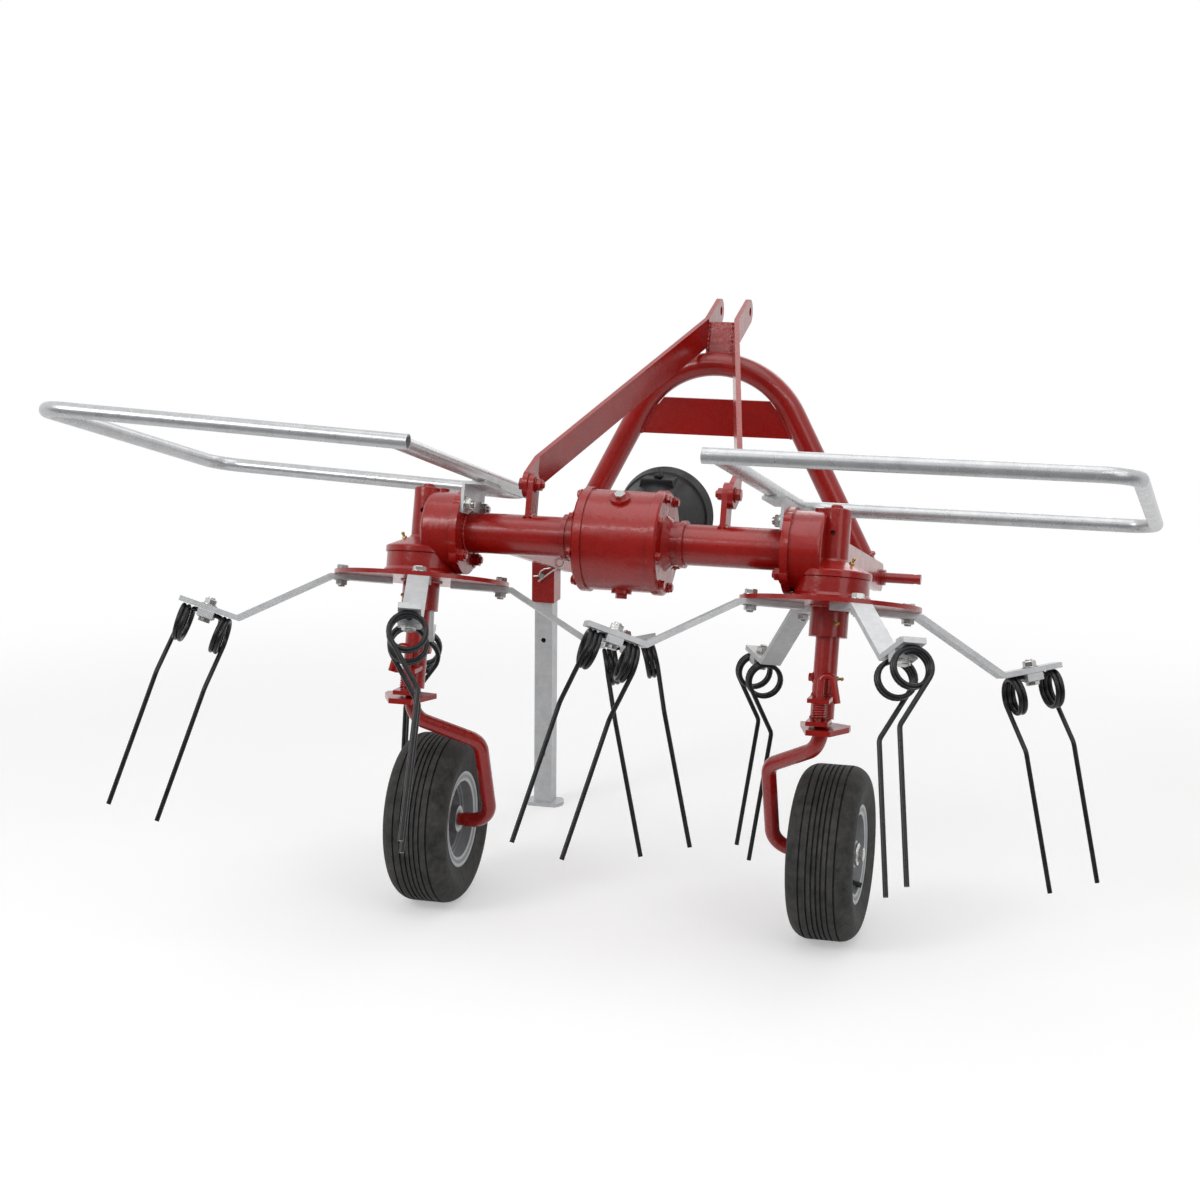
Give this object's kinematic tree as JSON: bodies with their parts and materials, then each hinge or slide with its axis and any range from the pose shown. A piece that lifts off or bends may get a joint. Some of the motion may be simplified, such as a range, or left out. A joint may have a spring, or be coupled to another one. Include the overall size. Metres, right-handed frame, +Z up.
{
  "type": "rotary tedder",
  "caption": "Tractor-mounted rotary tedder: tined rotors under a round beam with gearbox, tube guards, hitch arch and stays, caster wheels and a pinned parking stand.",
  "frame": {"origin": "on the ground, under the middle of the parked machine's box", "axes": "+X to the machine's right, +Y forward towards the tractor, +Z up"},
  "size_m": [1.9165, 1.5747, 1.1265],
  "materials": {
    "red_paint": "gloss",
    "galvanised_steel": "satin",
    "black_spring_steel": "satin",
    "tyre_rubber": "matte",
    "grey_rim_paint": "satin",
    "black_plastic": "satin",
    "bright_steel": "satin"
  },
  "bodies": {
    "frame": {"beam_tube_left": "red_paint", "beam_tube_right": "red_paint", "gearbox_body": "red_paint", "gearbox_cover_left": "red_paint", "gearbox_cover_right": "red_paint", "gearbox_plugs": "bright_steel", "pto_guard": "black_plastic", "housing_left": "red_paint", "housing_right": "red_paint", "guard_rail_left": "galvanised_steel", "guard_rail_right": "galvanised_steel", "guard_bracket_left": "galvanised_steel", "guard_bracket_right": "galvanised_steel", "hitch_arch": "red_paint", "hitch_cross_plate": "red_paint", "top_stay_left": "red_paint", "top_stay_right": "red_paint", "mast_spacer": "red_paint", "stay_lug_left": "red_paint", "stay_lug_right": "red_paint", "lower_arm_left": "red_paint", "lower_arm_right": "red_paint", "hitch_pin_left": "red_paint", "hitch_pin_right": "red_paint", "stand_sleeve": "red_paint", "stand_pin": "bright_steel", "leg_left": "red_paint", "leg_right": "red_paint", "lock_bracket_left": "red_paint", "lock_bracket_right": "red_paint", "lock_pin_left": "red_paint", "lock_pin_right": "red_paint"},
    "pto": {"pto_shaft": "bright_steel"},
    "rotor_left": {"rotor_disc_left": "red_paint", "rotor_hub_left": "red_paint", "rotor_arms_left": "galvanised_steel", "tines_left": "black_spring_steel", "tine_clips_left": "galvanised_steel"},
    "rotor_right": {"rotor_disc_right": "red_paint", "rotor_hub_right": "red_paint", "rotor_arms_right": "galvanised_steel", "tines_right": "black_spring_steel", "tine_clips_right": "galvanised_steel"},
    "stand": {"stand_leg": "galvanised_steel"},
    "caster_left": {"caster_arm_left": "red_paint"},
    "caster_right": {"caster_arm_right": "red_paint"},
    "wheel_left": {"tyre_left": "tyre_rubber", "rim_left": "grey_rim_paint"},
    "wheel_right": {"tyre_right": "tyre_rubber", "rim_right": "grey_rim_paint"}
  },
  "joints": [
    {"name": "rotor_right_spin", "type": "hinge", "parent": "frame", "child": "rotor_right", "pos_m": [0.39, -0.16757, 0.65617], "axis": [0, 0.2588, 0.9659], "continuous": true},
    {"name": "rotor_left_spin", "type": "hinge", "parent": "frame", "child": "rotor_left", "pos_m": [-0.39, -0.16757, 0.65617], "axis": [0, 0.2588, 0.9659], "continuous": true},
    {"name": "pto_spin", "type": "hinge", "parent": "frame", "child": "pto", "pos_m": [0, 0.0065, 0.746], "axis": [0, 1, 0], "continuous": true},
    {"name": "stand_slide", "type": "slide", "parent": "frame", "child": "stand", "axis": [0, 0, 1], "range_m": [0, 0.406]},
    {"name": "caster_right_swivel", "type": "hinge", "parent": "frame", "child": "caster_right", "pos_m": [0.39, -0.22115, 0.45622], "axis": [0, 0.2588, 0.9659], "range_deg": [-20, 20]},
    {"name": "wheel_right_roll", "type": "hinge", "parent": "caster_right", "child": "wheel_right", "pos_m": [0.391, -0.0835, 0.165], "axis": [1, 0, 0], "continuous": true},
    {"name": "caster_left_swivel", "type": "hinge", "parent": "frame", "child": "caster_left", "pos_m": [-0.39, -0.22115, 0.45622], "axis": [0, 0.2588, 0.9659], "range_deg": [-20, 20]},
    {"name": "wheel_left_roll", "type": "hinge", "parent": "caster_left", "child": "wheel_left", "pos_m": [-0.391, -0.0835, 0.165], "axis": [1, 0, 0], "continuous": true}
  ],
  "couplings": [
    {"joint": "rotor_left_spin", "follows": "rotor_right_spin", "ratio": -1},
    {"joint": "pto_spin", "follows": "rotor_right_spin", "ratio": 3}
  ]
}
